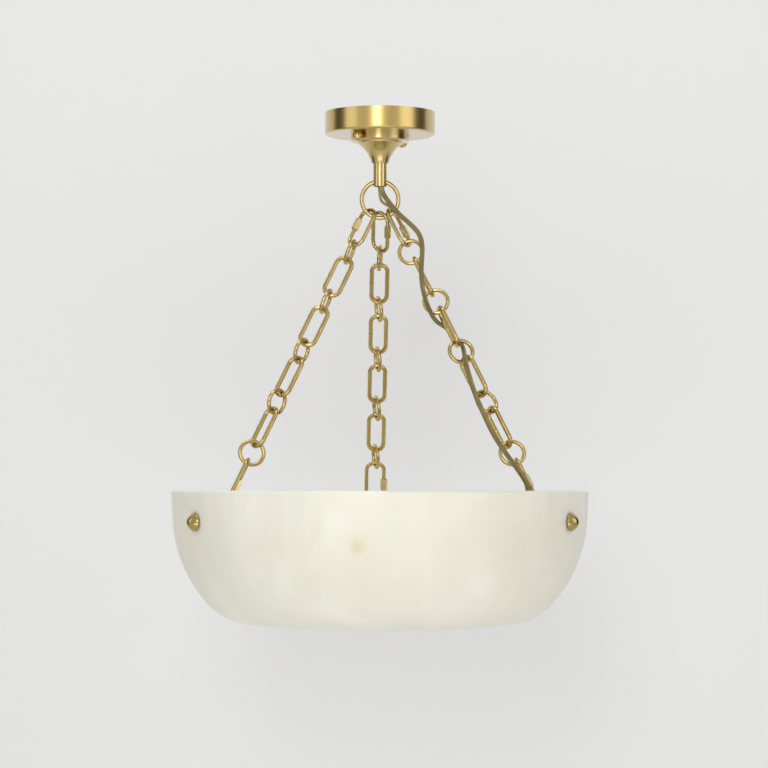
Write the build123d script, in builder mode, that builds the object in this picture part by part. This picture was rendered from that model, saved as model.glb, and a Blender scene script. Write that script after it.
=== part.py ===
"""Alabaster bowl pendant: a turned stone bowl on three chains under a brass canopy.

Sizes are in millimetres. The origin is the middle of the canopy's open top, on the ceiling, +Z up.
X runs to the right and Y away from the side that the lamp is seen from.
"""

import os
from math import cos, radians, sin, sqrt, tan

from build123d import *

os.makedirs("parts", exist_ok=True)

# Fits and clearances
running_gap = 0.05  # round a rod in its nut, sleeve or bore, on the radius
pin_gap = 0.6  # round the big ring where it swings in the stem, on the radius
hole_gap = 0.5  # round a bolt in drilled stone, on the radius
stack_gap = 0.1  # between a flat washer and the curved stone
contact_gap = 0.15  # between two links that bear on each other

# Canopy and what holds it
canopy_od = 120.0
canopy_height = 24.0
canopy_sheet = 1.2
canopy_edge_radius = 2.5
screw_circle_radius = 38.5
screw_azimuth = 231.0
screw_radius = 2.0
ball_radius = 5.75
ball_seat_radius = 3.5
ball_height = 10.3
ball_bore_depth = 7.5
strap_thickness = 2.5
strap_width = 16.0
strap_wire_hole = 10.0
box_circle = 88.9  # the two screws of a ceiling box, on their circle's diameter
box_hole_radius = 2.5

# Nipple, trumpet and stem
nipple_radius = 4.8
nipple_bore = 3.6
nipple_top = -17.0
nipple_length = 21.0
washer_radius = 9.0
washer_thickness = 1.2
nut_flats = 14.0
nut_height = 4.0
trumpet_radius = 32.0
trumpet_band = 7.5
trumpet_wall = 2.5
trumpet_web = 3.0
trumpet_web_drop = 4.0
trumpet_step_radius = 24.0
trumpet_horn = 21.5
trumpet_neck_radius = 9.4
trumpet_neck_land = 6.0
stem_od = 15.0
stem_bore = 13.0
stem_foot = -80.0
stem_thread_depth = 9.0
stem_hole_above_foot = 4.2

# Hanger ring
hanger_od = 44.5
hanger_wire = 4.6

# Chain links: outer length, outer width and wire
ring_od = 30.0
ring_wire = 4.2
oblong_length = 51.2
oblong_width = 22.0
oblong_wire = 4.8
quick_length = 50.4
lower_quick_length = 54.6
quick_width = 24.5
quick_wire = 4.4
quick_gap = 5.0
quick_gap_offset = 5.0  # the gap's middle, from the link's middle towards one end
sleeve_length = 14.0
sleeve_offset = 3.5
sleeve_flats = 6.8
sleeve_chamfer = 0.5
bowl_ring_od = 38.0
bowl_ring_wire = 4.2
wire_sides = 8  # the repeated links' wire is drawn as an octagon of its own size

# Bowl
bowl_od = 450.0
bowl_depth = 149.0
bowl_wall = 8.0
lip_height = 22.0
lip_draft = 1.0
side_radius = 150.0
turn_radius = 65.0
base_radius = 1700.0
rim_round = 2.5

# Eye bolts through the bowl's wall
bolt_drop = 32.6
bolt_radius = 2.5
eye_radius = 6.2
eye_wire = 4.2
collar_radius = 4.0
collar_thickness = 1.0
plate_radius = 7.5
plate_thickness = 1.0
rubber_radius = 8.0
rubber_thickness = 1.0
cap_radius = 10.0
cap_height = 9.0
cap_edge = 1.3
cap_tip_radius = 3.6
cap_tip_turn = 38.0
cap_bore_depth = 6.0

# Lamp cluster
base_plate_radius = 55.0
base_plate_thickness = 3.0
foot_circle_radius = 45.0
foot_radius = 6.0
foot_height = 6.0
hub_radius = 16.0
hub_wall = 1.5
hub_height = 45.0
hub_cap_radius = 17.5
hub_cap_thickness = 3.0
holder_radius = 19.0
holder_length = 45.0
holder_bore = 13.3
holder_bore_depth = 30.0
holder_shoulder = 6.0
holder_neck_radius = 5.0
holder_neck = 12.0
holder_tilt = 20.0
holder_azimuth = 32.0
bushing_radius = 6.0
bushing_length = 5.0
bushing_height = 12.0

# Cord, earth wire and the leads in the canopy
cord_diameter = 3.6
earth_diameter = 3.0
lead_diameter = 2.4
lead_circle = 1.9  # the three leads' own circle in the nipple, on the radius
lead_height = -9.0
earth_lead_height = -5.4
lead_foot = -70.0
lead_run = 24.0
connector_length = 16.0
connector_mouth = 4.5
connector_tip = 3.3
earth_screw_circle = 24.0
earth_screw_head = 4.0
earth_screw_depth = 4.5

# Each chain: its eye bolt's azimuth, where it bears on the hanger ring in degrees from the lowest
# point, the play there, and how far each link is turned about the chain's line, in degrees from
# lying broadside on. A sleeve is on the leg of side 1 or -1, nearer the lower end, 1, or the upper, -1.
chains = {
    "back": {
        "azimuth": 92.0, "hook": 2.1, "play": 1.7, "first": 37.7, "last": 0.0, "bowl_ring": 84.0,
        "rings": (95, 76, 78, 76, 77), "oblongs": (0, 0, 0, 0), "sleeves": ((1, -1), (1, 1)),
    },
    "left": {
        "azimuth": 211.4, "hook": -38.1, "play": 0.95, "first": 46.4, "last": 92.0, "bowl_ring": 160.0,
        "rings": (100, 101, 118, 129, 172), "oblongs": (6, 12, 39, 52), "sleeves": ((-1, -1), (-1, 1)),
    },
    "right": {
        "azimuth": 332.2, "hook": 39.4, "play": 0.58, "first": -64.0, "last": 85.0, "bowl_ring": 20.0,
        "rings": (0, 0, 160, 137, 168), "oblongs": (90, 78, 44, 57), "sleeves": ((1, 1), (1, 1)),
    },
}


def along_azimuth(radius, azimuth, z):
    """The point at a radius and azimuth about the lamp's axis."""
    return Vector(radius * cos(radians(azimuth)), radius * sin(radians(azimuth)), z)


def radial_plane(azimuth, z):
    """A plane through the lamp's axis at height z whose normal points out along the azimuth."""
    return Plane(origin=(0, 0, z), x_dir=(0, 0, 1), z_dir=along_azimuth(1, azimuth, 0))


def upright_plane(azimuth, z):
    """A plane that holds the lamp's axis: local X points out along the azimuth, local Y up."""
    out = along_azimuth(1, azimuth, 0)
    return Plane(origin=(0, 0, z), x_dir=out, z_dir=out.cross(Vector(0, 0, 1)))


# Heights that follow from the pieces above one another
canopy_foot = -canopy_height
canopy_floor = canopy_foot + canopy_sheet
nipple_foot = nipple_top - nipple_length
web_top = canopy_foot - trumpet_web_drop
web_foot = web_top - trumpet_web
band_foot = canopy_foot - trumpet_band
horn_top = band_foot - 2.0
neck_foot = horn_top - trumpet_horn
stem_hole_z = stem_foot + stem_hole_above_foot
hanger_radius = (hanger_od - hanger_wire) / 2
stem_radius = stem_od / 2
# The ring's wire is level with the cross hole where it passes the stem's wall
wall_middle = (stem_radius + stem_bore / 2) / 2
hanger_z = stem_hole_z - sqrt(hanger_radius**2 - wall_middle**2)

# Bowl profile: three arcs that meet smoothly, from the lip down to the middle of the base.
# Points are (radius, height below the rim) in the bowl's own section.
bowl_radius = bowl_od / 2
side_centre = Vector(bowl_radius - lip_draft - side_radius, -lip_height)
base_centre = Vector(0, base_radius - bowl_depth)
between = base_centre - side_centre
side_reach = side_radius - turn_radius
base_reach = base_radius - turn_radius
run = (side_reach**2 - base_reach**2 + between.length**2) / (2 * between.length)
across_run = sqrt(side_reach**2 - run**2)
toward_base = between.normalized()
turn_centre = side_centre + toward_base * run + Vector(toward_base.Y, -toward_base.X) * across_run


def bowl_section(inset):
    """The points and arc middles of the bowl's outer profile, moved inwards by inset."""
    side_way = (turn_centre - side_centre).normalized()
    base_way = (turn_centre - base_centre).normalized()
    lip = Vector(bowl_radius - inset, 0)
    side_top = side_centre + Vector(side_radius - inset, 0)
    side_end = side_centre + side_way * (side_radius - inset)
    turn_end = turn_centre + base_way * (turn_radius - inset)
    middle = Vector(0, inset - bowl_depth)
    side_middle = side_centre + (Vector(1, 0) + side_way).normalized() * (side_radius - inset)
    turn_middle = turn_centre + (side_way + base_way).normalized() * (turn_radius - inset)
    base_middle = base_centre + (base_way + Vector(0, -1)).normalized() * (base_radius - inset)
    return lip, side_top, side_middle, side_end, turn_middle, turn_end, base_middle, middle


def side_radius_at(drop, inset):
    """The bowl's radius a little way below the lip, on its outer wall moved inwards by inset."""
    return side_centre.X + sqrt((side_radius - inset) ** 2 - (drop - lip_height) ** 2)


# Eye bolts: the wall at the bolt's height, and where each piece on the bolt sits along its radius
wall_outer = side_radius_at(bolt_drop, 0)
wall_inner = side_radius_at(bolt_drop + rubber_radius, bowl_wall)
rubber_inner = wall_inner - stack_gap - rubber_thickness
plate_inner = rubber_inner - plate_thickness
collar_inner = plate_inner - collar_thickness
eye_centre = collar_inner - eye_radius - eye_wire / 2 + 0.6
rubber_outer = side_radius_at(bolt_drop - rubber_radius, 0) + stack_gap
cap_seat = rubber_outer + rubber_thickness
cap_tip_edge = cap_tip_radius * sin(radians(cap_tip_turn))
bolt_end = cap_seat + cap_bore_depth - 1
eye_reach = eye_centre - eye_radius

# The links of one chain from the top down: kind, outer length, outer width and wire
links = [("quick", quick_length, quick_width, quick_wire)]
for _ in range(4):
    links.append(("ring", ring_od, ring_od, ring_wire))
    links.append(("oblong", oblong_length, oblong_width, oblong_wire))
links.append(("ring", ring_od, ring_od, ring_wire))
links.append(("lower_quick", lower_quick_length, quick_width, quick_wire))
links.append(("bowl_ring", bowl_ring_od, bowl_ring_od, bowl_ring_wire))


def hook_point(chain):
    """Where the chain bears on the hanger ring, on its wire's centre line."""
    angle = radians(chain["hook"])
    return Vector(hanger_radius * sin(angle), 0, hanger_z - hanger_radius * cos(angle))


def chain_reach(chain, gap):
    """From the hanger ring's wire to the eye's, when each link bears on the next with this gap."""
    wires = [hanger_wire] + [wire for *_, wire in links] + [eye_wire]
    bearings = sum(wires) - (wires[0] + wires[-1]) / 2
    return sum(length - wire for _, length, _, wire in links) - bearings - chain["play"] - 12 * gap


def eye_drop(chain):
    """How far the chain's eye hangs below its hook point when the chain is drawn straight."""
    level = along_azimuth(eye_reach, chain["azimuth"], 0) - hook_point(chain)
    return sqrt(chain_reach(chain, contact_gap) ** 2 - level.X**2 - level.Y**2)


bolt_z = max(hook_point(chain).Z - eye_drop(chain) for chain in chains.values())
rim_z = bolt_z + bolt_drop
rim_plane = Plane(origin=(0, 0, rim_z), x_dir=(1, 0, 0), z_dir=(0, -1, 0))


def chain_places(chain):
    """Each link's kind and the plane that it lies in: local X down the chain, local Y its width."""
    top = hook_point(chain)
    line = along_azimuth(eye_reach, chain["azimuth"], bolt_z) - top
    down = line.normalized()
    front = Vector(0, -1, 0)
    front = (front - down * front.dot(down)).normalized()
    broad = front.cross(down)
    if broad.X < 0:
        broad = -broad
    gap = (chain_reach(chain, 0) - line.length) / 12
    turns = [chain["first"]]
    for ring, oblong in zip(chain["rings"], chain["oblongs"]):
        turns += [ring, oblong]
    turns += [chain["rings"][-1], chain["last"], chain["bowl_ring"]]
    places = []
    wire_above = hanger_wire
    start = -chain["play"] - (hanger_wire + links[0][3]) / 2
    for (kind, length, _, wire), turn in zip(links, turns):
        if places:
            start -= (wire_above + wire) / 2 + gap
        centre = top + down * (start + (length - wire) / 2)
        width = broad * cos(radians(turn)) + front * sin(radians(turn))
        places.append((kind, Plane(origin=centre, x_dir=down, z_dir=down.cross(width))))
        start += length - wire
        wire_above = wire
    return places


# Crossbar: two round-ended arms, crossed, one for the canopy's screws and one for the ceiling box
with BuildPart() as crossbar:
    with BuildSketch() as arms:
        SlotCenterToCenter(2 * screw_circle_radius, strap_width, rotation=screw_azimuth)
        SlotCenterToCenter(box_circle, strap_width, rotation=screw_azimuth + 90)
    extrude(amount=-strap_thickness)
    with BuildSketch() as screw_holes:
        with PolarLocations(screw_circle_radius, 2, start_angle=screw_azimuth):
            Circle(screw_radius + running_gap)
        with PolarLocations(box_circle / 2, 2, start_angle=screw_azimuth + 90):
            Circle(box_hole_radius)
        Circle(strap_wire_hole)
    extrude(amount=-strap_thickness, mode=Mode.SUBTRACT)
crossbar.part.label = "crossbar"
export_step(crossbar.part, "parts/crossbar.step")

# Canopy: a shallow spun cup, open on top, with holes for the nipple and the two screws
with BuildPart() as canopy:
    Cylinder(canopy_od / 2, canopy_height, align=(Align.CENTER, Align.CENTER, Align.MAX))
    fillet(canopy.edges().sort_by(Axis.Z)[0], canopy_edge_radius)
    offset(amount=-canopy_sheet, openings=canopy.faces().sort_by(Axis.Z)[-1])
    with BuildSketch(Plane.XY.offset(canopy_foot)) as canopy_holes:
        Circle(nipple_radius + 2 * running_gap)
        with PolarLocations(screw_circle_radius, 2, start_angle=screw_azimuth):
            Circle(screw_radius + hole_gap)
    extrude(amount=canopy_sheet, mode=Mode.SUBTRACT)
canopy.part.label = "canopy"
export_step(canopy.part, "parts/canopy.step")

# Canopy screws and the ball nuts that draw the canopy up to the ceiling
for side, azimuth in (("front", screw_azimuth), ("rear", screw_azimuth + 180)):
    screw_plane = Plane(origin=along_azimuth(screw_circle_radius, azimuth, 0))
    with BuildPart() as canopy_screw:
        with BuildSketch(screw_plane):
            Circle(screw_radius)
        extrude(amount=canopy_foot - ball_bore_depth + 1)
        chamfer(canopy_screw.edges().sort_by(Axis.Z)[0], 0.5)
    canopy_screw.part.label = f"canopy_screw_{side}"
    export_step(canopy_screw.part, f"parts/canopy_screw_{side}.step")

    ball_plane = Plane(
        origin=along_azimuth(screw_circle_radius, azimuth, canopy_foot), x_dir=(1, 0, 0), z_dir=(0, -1, 0)
    )
    ball_drop = sqrt(ball_radius**2 - ball_seat_radius**2)
    with BuildPart() as ball_nut:
        with BuildSketch(ball_plane):
            with BuildLine():
                bulge = ThreePointArc(
                    (ball_seat_radius, 0), (ball_radius, -ball_drop), (0, -ball_drop - ball_radius)
                )
                Polyline(bulge @ 1, (0, -ball_bore_depth), (screw_radius + running_gap, -ball_bore_depth))
                Polyline(
                    (screw_radius + running_gap, -ball_bore_depth),
                    (screw_radius + running_gap, 0),
                    bulge @ 0,
                )
            make_face()
        revolve(axis=Axis(ball_plane.origin, (0, 0, 1)))
    ball_nut.part.label = f"ball_nut_{side}"
    export_step(ball_nut.part, f"parts/ball_nut_{side}.step")

# Threaded nipple with its washer and nut inside the canopy
with BuildPart() as nipple:
    with BuildSketch(Plane.XY.offset(nipple_top)):
        Circle(nipple_radius)
        Circle(nipple_bore, mode=Mode.SUBTRACT)
    extrude(amount=-nipple_length)
nipple.part.label = "nipple"
export_step(nipple.part, "parts/nipple.step")

with BuildPart() as nipple_washer:
    with BuildSketch(Plane.XY.offset(canopy_floor)):
        Circle(washer_radius)
        Circle(nipple_radius + running_gap, mode=Mode.SUBTRACT)
    extrude(amount=washer_thickness)
nipple_washer.part.label = "nipple_washer"
export_step(nipple_washer.part, "parts/nipple_washer.step")

with BuildPart() as nipple_nut:
    with BuildSketch(Plane.XY.offset(canopy_floor + washer_thickness)):
        RegularPolygon(nut_flats / 2, 6, major_radius=False)
        Circle(nipple_radius + running_gap, mode=Mode.SUBTRACT)
    extrude(amount=nut_height)
nipple_nut.part.label = "nipple_nut"
export_step(nipple_nut.part, "parts/nipple_nut.step")

# Trumpet: a plain band over a concave horn, with a web that the stem's top bears on
neck_bore = stem_radius + running_gap
with BuildPart() as trumpet:
    with BuildSketch(Plane.XZ):
        with BuildLine():
            horn_middle = (
                (trumpet_neck_radius + trumpet_step_radius) / 2 - 1.2,
                (horn_top + neck_foot) / 2 + 2.7,
            )
            Polyline(
                (nipple_radius + running_gap, web_top),
                (trumpet_radius - trumpet_wall, web_top),
                (trumpet_radius - trumpet_wall, canopy_foot),
                (trumpet_radius, canopy_foot),
                (trumpet_radius, band_foot + 1.5),
            )
            RadiusArc((trumpet_radius, band_foot + 1.5), (trumpet_radius - 1.5, band_foot), 1.5)
            Polyline(
                (trumpet_radius - 1.5, band_foot),
                (trumpet_step_radius + 1, band_foot),
                (trumpet_step_radius, horn_top),
            )
            ThreePointArc((trumpet_step_radius, horn_top), (15.6, -41.5), (trumpet_neck_radius, neck_foot))
            Polyline(
                (trumpet_neck_radius, neck_foot),
                (neck_bore, neck_foot),
                (neck_bore, neck_foot + trumpet_neck_land),
            )
            ThreePointArc((neck_bore, neck_foot + trumpet_neck_land), (12.4, -39.6), (19.5, web_foot))
            Polyline(
                (19.5, web_foot),
                (nipple_radius + running_gap, web_foot),
                (nipple_radius + running_gap, web_top),
            )
        make_face()
    revolve(axis=Axis.Z)
trumpet.part.label = "trumpet"
export_step(trumpet.part, "parts/trumpet.step")

# Stem: a plain tube, threaded on the nipple at its top, cross-drilled for the hanger ring at its foot
with BuildPart() as stem:
    with BuildSketch(Plane.XY.offset(stem_foot)):
        Circle(stem_radius)
        Circle(stem_bore / 2, mode=Mode.SUBTRACT)
    extrude(amount=web_foot - stem_foot)
    with BuildSketch(Plane.XY.offset(web_foot)):
        Circle(stem_radius)
        Circle(nipple_radius + running_gap, mode=Mode.SUBTRACT)
    extrude(amount=-stem_thread_depth)
    with Locations((0, 0, stem_hole_z)):
        Cylinder(hanger_wire / 2 + pin_gap, 2 * stem_od, rotation=(0, 90, 0), mode=Mode.SUBTRACT)
stem.part.label = "stem"
export_step(stem.part, "parts/stem.step")

# Hanger ring: one round-wire ring through the stem's cross hole
with BuildPart() as hanger_ring:
    with Locations(Plane(origin=(0, 0, hanger_z), z_dir=(0, 1, 0))):
        Torus(hanger_radius, hanger_wire / 2)
hanger_ring.part.label = "hanger_ring"
export_step(hanger_ring.part, "parts/hanger_ring.step")


def ring_solid(outer, wire):
    """A closed ring of wire about the local Z axis."""
    with BuildPart() as ring:
        with BuildSketch(Plane.XZ):
            with Locations(((outer - wire) / 2, 0)):
                RegularPolygon(wire / 2, wire_sides, rotation=180 / wire_sides)
        revolve(axis=Axis.Z)
    return ring.part


def oblong_solid():
    """A closed oblong link along the local X axis, with the weld's bead round the middle of one leg."""
    leg = (oblong_width - oblong_wire) / 2
    bend = (oblong_length - oblong_wire) / 2 - leg
    with BuildPart() as oblong:
        with BuildSketch(Plane.YZ):
            with Locations((leg, 0), (-leg, 0)):
                RegularPolygon(oblong_wire / 2, wire_sides, rotation=180 / wire_sides)
        extrude(amount=bend, both=True)
        with BuildSketch(Plane.YZ.offset(bend)):
            with Locations((leg, 0)):
                RegularPolygon(oblong_wire / 2, wire_sides, rotation=180 / wire_sides)
        half = revolve(axis=Axis((bend, 0, 0), (0, 0, -1)), revolution_arc=180)
        mirror(half, about=Plane.YZ)
        with BuildSketch(Plane(origin=(-0.8, leg, 0), z_dir=(1, 0, 0))):
            RegularPolygon(oblong_wire / 2 + 0.2, wire_sides, rotation=180 / wire_sides)
        extrude(amount=1.6)
    return oblong.part


def quick_solid(length):
    """A quick link along the local X axis, open by a gap in the leg on the local +Y side."""
    leg = (quick_width - quick_wire) / 2
    bend = (length - quick_wire) / 2 - leg
    near, far = quick_gap_offset - quick_gap / 2, quick_gap_offset + quick_gap / 2
    with BuildPart() as quick:
        with BuildLine() as path:
            Line((far, leg), (bend, leg))
            ThreePointArc((bend, leg), (bend + leg, 0), (bend, -leg))
            Line((bend, -leg), (-bend, -leg))
            ThreePointArc((-bend, -leg), (-bend - leg, 0), (-bend, leg))
            Line((-bend, leg), (near, leg))
        with BuildSketch(Plane(origin=(far, leg, 0), z_dir=(1, 0, 0), x_dir=(0, 1, 0))):
            RegularPolygon(quick_wire / 2, wire_sides, rotation=180 / wire_sides)
        sweep()
    return quick.part


def sleeve_solid():
    """The hexagonal sleeve that closes a quick link, where it sits on the local +Y leg."""
    leg = (quick_width - quick_wire) / 2
    with BuildPart() as sleeve:
        with BuildSketch(Plane(origin=(sleeve_offset - sleeve_length / 2, leg, 0), z_dir=(1, 0, 0))):
            RegularPolygon(sleeve_flats / 2, 6, major_radius=False, rotation=30)
        extrude(amount=sleeve_length)
        ends = sleeve.faces().filter_by(Axis.X)
        chamfer(ends.edges(), sleeve_chamfer)
        with BuildSketch(Plane(origin=(sleeve_offset - sleeve_length / 2, leg, 0), z_dir=(1, 0, 0))):
            Circle(quick_wire / 2 + running_gap)
        extrude(amount=sleeve_length, mode=Mode.SUBTRACT)
    return sleeve.part


link_solids = {
    "quick": quick_solid(quick_length),
    "lower_quick": quick_solid(lower_quick_length),
    "ring": ring_solid(ring_od, ring_wire),
    "oblong": oblong_solid(),
    "bowl_ring": ring_solid(bowl_ring_od, bowl_ring_wire),
}
sleeve = sleeve_solid()


def quick_place(place, side, end):
    """A quick link's place, turned so that its open leg is on the side and towards the end asked for."""
    down = place.x_dir * end
    return Plane(origin=place.origin, x_dir=down, z_dir=down.cross(place.y_dir * side))


# The three chains
for side, chain in chains.items():
    places = chain_places(chain)
    quick_places = [place for kind, place in places if kind in ("quick", "lower_quick")]
    for end, kind, place, turned in zip(
        ("top", "low"), ("quick", "lower_quick"), quick_places, chain["sleeves"]
    ):
        with BuildPart() as quick_link:
            with Locations(quick_place(place, *turned)):
                add(link_solids[kind])
        quick_link.part.label = f"quick_link_{end}_{side}"
        export_step(quick_link.part, f"parts/quick_link_{end}_{side}.step")

        with BuildPart() as link_sleeve:
            with Locations(quick_place(place, *turned)):
                add(sleeve)
        link_sleeve.part.label = f"sleeve_{end}_{side}"
        export_step(link_sleeve.part, f"parts/sleeve_{end}_{side}.step")

    for kind, name in (("ring", "round_rings"), ("oblong", "oblong_links"), ("bowl_ring", "bowl_ring")):
        with BuildPart() as run_of_links:
            with Locations([place for each, place in places if each == kind]):
                add(link_solids[kind])
        run_of_links.part.label = f"{name}_{side}"
        export_step(run_of_links.part, f"parts/{name}_{side}.step")

# Bowl: one turned section, its rim rounded over, with three holes for the eye bolts
with BuildPart() as bowl:
    with BuildSketch(rim_plane) as section:
        with BuildLine():
            lip, side_top, side_mid, side_end, turn_mid, turn_end, base_mid, middle = bowl_section(0)
            Line(lip, side_top)
            ThreePointArc(side_top, side_mid, side_end)
            ThreePointArc(side_end, turn_mid, turn_end)
            ThreePointArc(turn_end, base_mid, middle)
            low_point = middle
            in_lip, side_top, side_mid, side_end, turn_mid, turn_end, base_mid, middle = bowl_section(
                bowl_wall
            )
            Line(low_point, middle)
            ThreePointArc(middle, base_mid, turn_end)
            ThreePointArc(turn_end, turn_mid, side_end)
            ThreePointArc(side_end, side_mid, side_top)
            Line(side_top, in_lip)
            Line(in_lip, lip)
        make_face()
        fillet(section.vertices().group_by(Axis.Y)[-1], rim_round)
    revolve(axis=Axis.Z)
    for chain in chains.values():
        with Locations(radial_plane(chain["azimuth"], bolt_z).offset(wall_outer)):
            Cylinder(bolt_radius + hole_gap, 4 * bowl_wall, mode=Mode.SUBTRACT)
bowl.part.label = "bowl"
export_step(bowl.part, "parts/bowl.step")

# Eye bolts, each with a plate and a rubber washer inside and a rubber washer and cap nut outside
for side, chain in chains.items():
    azimuth = chain["azimuth"]
    with BuildPart() as eye_bolt:
        eye_middle = along_azimuth(eye_centre, azimuth, bolt_z)
        with BuildSketch(upright_plane(azimuth, bolt_z)):
            with Locations((eye_centre - eye_radius, 0)):
                RegularPolygon(eye_wire / 2, wire_sides, rotation=180 / wire_sides)
        revolve(axis=Axis(eye_middle, (0, 0, 1)))
        with BuildSketch(radial_plane(azimuth, bolt_z).offset(eye_centre + eye_radius)):
            Circle(bolt_radius)
        extrude(amount=bolt_end - eye_centre - eye_radius)
        with BuildSketch(radial_plane(azimuth, bolt_z).offset(collar_inner)):
            Circle(collar_radius)
        extrude(amount=collar_thickness)
    eye_bolt.part.label = f"eye_bolt_{side}"
    export_step(eye_bolt.part, f"parts/eye_bolt_{side}.step")

    with BuildPart() as cap_nut:
        with BuildSketch(upright_plane(azimuth, bolt_z)):
            with BuildLine():
                tip = cap_seat + cap_height
                Polyline((tip, 0), (cap_seat + cap_bore_depth, 0))
                Polyline(
                    (cap_seat + cap_bore_depth, 0),
                    (cap_seat + cap_bore_depth, bolt_radius + running_gap),
                    (cap_seat, bolt_radius + running_gap),
                    (cap_seat, cap_radius),
                    (cap_seat + cap_edge, cap_radius),
                )
                flank = ThreePointArc(
                    (cap_seat + cap_edge, cap_radius),
                    (cap_seat + 0.58 * cap_height, 0.66 * cap_radius),
                    (tip - cap_tip_radius * (1 - cos(radians(cap_tip_turn))), cap_tip_edge),
                )
                half_turn = radians(cap_tip_turn / 2)
                tip_middle = (tip - cap_tip_radius * (1 - cos(half_turn)), cap_tip_radius * sin(half_turn))
                ThreePointArc(flank @ 1, tip_middle, (tip, 0))
            make_face()
        revolve(axis=Axis((0, 0, bolt_z), along_azimuth(1, azimuth, 0)))
    cap_nut.part.label = f"cap_nut_{side}"
    export_step(cap_nut.part, f"parts/cap_nut_{side}.step")

for name, inner, radius, thickness in (
    ("plate_washers", plate_inner, plate_radius, plate_thickness),
    ("inner_rubbers", rubber_inner, rubber_radius, rubber_thickness),
    ("outer_rubbers", rubber_outer, rubber_radius, rubber_thickness),
):
    with BuildPart() as washers:
        for chain in chains.values():
            with BuildSketch(radial_plane(chain["azimuth"], bolt_z).offset(inner)):
                Circle(radius)
                Circle(bolt_radius + running_gap, mode=Mode.SUBTRACT)
            extrude(amount=thickness)
    washers.part.label = name
    export_step(washers.part, f"parts/{name}.step")

# Lamp cluster: a weighted plate on three feet on the bowl's floor, a hub and three lampholders
floor_z = rim_z + base_centre.Y - sqrt((base_radius - bowl_wall) ** 2 - (foot_circle_radius + foot_radius) ** 2)
foot_top = floor_z + stack_gap + foot_height
plate_top = foot_top + base_plate_thickness
hub_top = plate_top + hub_height
with BuildPart() as lamp_feet:
    with BuildSketch(Plane.XY.offset(foot_top)):
        with PolarLocations(foot_circle_radius, 3, start_angle=holder_azimuth):
            Circle(foot_radius)
    extrude(amount=-foot_height, taper=6)
lamp_feet.part.label = "lamp_feet"
export_step(lamp_feet.part, "parts/lamp_feet.step")

with BuildPart() as lamp_base:
    with BuildSketch(Plane.XY.offset(foot_top)):
        Circle(base_plate_radius)
    extrude(amount=base_plate_thickness)
    fillet(lamp_base.edges().sort_by(Axis.Z)[-1], 1.0)
lamp_base.part.label = "lamp_base"
export_step(lamp_base.part, "parts/lamp_base.step")

holder_z = plate_top + 0.6 * hub_height
bushing_z = plate_top + bushing_height
cord_azimuth = chains["right"]["azimuth"]


def holder_plane(azimuth):
    """A plane on the hub's axis whose normal runs out and up along a lampholder's axis."""
    out = along_azimuth(cos(radians(holder_tilt)), azimuth, sin(radians(holder_tilt)))
    return Plane(origin=(0, 0, holder_z), x_dir=out.cross(Vector(0, 0, 1)), z_dir=out)


with BuildPart() as hub:
    with BuildSketch(Plane.XY.offset(plate_top)):
        Circle(hub_radius)
        Circle(hub_radius - hub_wall, mode=Mode.SUBTRACT)
    extrude(amount=hub_height)
    for turn in range(3):
        with BuildSketch(holder_plane(holder_azimuth + 120 * turn)):
            Circle(holder_neck_radius + running_gap)
        extrude(amount=2 * hub_radius, mode=Mode.SUBTRACT)
    with BuildSketch(radial_plane(cord_azimuth, bushing_z)):
        Circle(bushing_radius - 1 + running_gap)
    extrude(amount=2 * hub_radius, mode=Mode.SUBTRACT)
hub.part.label = "hub"
export_step(hub.part, "parts/hub.step")

with BuildPart() as hub_cap:
    with BuildSketch(Plane.XY.offset(hub_top)):
        Circle(hub_cap_radius)
    extrude(amount=hub_cap_thickness)
    fillet(hub_cap.edges().sort_by(Axis.Z)[-1], 1.2)
hub_cap.part.label = "hub_cap"
export_step(hub_cap.part, "parts/hub_cap.step")

holder_start = hub_radius + holder_neck
holder_end = holder_start + holder_length
for turn in range(3):
    azimuth = holder_azimuth + 120 * turn
    holder_section = Plane(
        origin=(0, 0, holder_z), x_dir=holder_plane(azimuth).z_dir, z_dir=holder_plane(azimuth).x_dir
    )
    with BuildPart() as lampholder:
        with BuildSketch(holder_section):
            with BuildLine():
                Polyline(
                    (hub_radius - 2 * hub_wall, 0),
                    (hub_radius - 2 * hub_wall, holder_neck_radius),
                    (holder_start, holder_neck_radius),
                    (holder_start, holder_radius - holder_shoulder),
                    (holder_start + holder_shoulder, holder_radius),
                    (holder_end, holder_radius),
                    (holder_end, holder_bore),
                    (holder_end - holder_bore_depth, holder_bore),
                    (holder_end - holder_bore_depth, 0),
                    close=True,
                )
            make_face()
        revolve(axis=Axis(holder_section.origin, holder_section.x_dir))
    lampholder.part.label = f"lampholder_{turn + 1}"
    export_step(lampholder.part, f"parts/lampholder_{turn + 1}.step")

with BuildPart() as cord_bushing:
    with BuildSketch(radial_plane(cord_azimuth, bushing_z).offset(hub_radius - 2 * hub_wall)):
        Circle(bushing_radius - 1)
    extrude(amount=2 * hub_wall)
    with BuildSketch(radial_plane(cord_azimuth, bushing_z).offset(hub_radius)):
        Circle(bushing_radius)
    extrude(amount=bushing_length)
cord_bushing.part.label = "cord_bushing"
export_step(cord_bushing.part, "parts/cord_bushing.step")


def bend_radii(points):
    """The largest bend at each inner point that leaves a tenth of the shorter run straight."""
    radii = []
    for before, here, after in zip(points, points[1:], points[2:]):
        into, out_of = here - before, after - here
        half_turn = radians(into.get_angle(out_of)) / 2
        radii.append(0.45 * min(into.length, out_of.length) / tan(half_turn))
    return radii


def beside(points, distance):
    """The same route moved to the side that faces away from the viewer."""
    moved = []
    for k, here in enumerate(points):
        way = (points[min(k + 1, len(points) - 1)] - points[max(k - 1, 0)]).normalized()
        back = Vector(0, 1, 0) - way * way.Y
        moved.append(here + back.normalized() * distance)
    return moved


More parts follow.
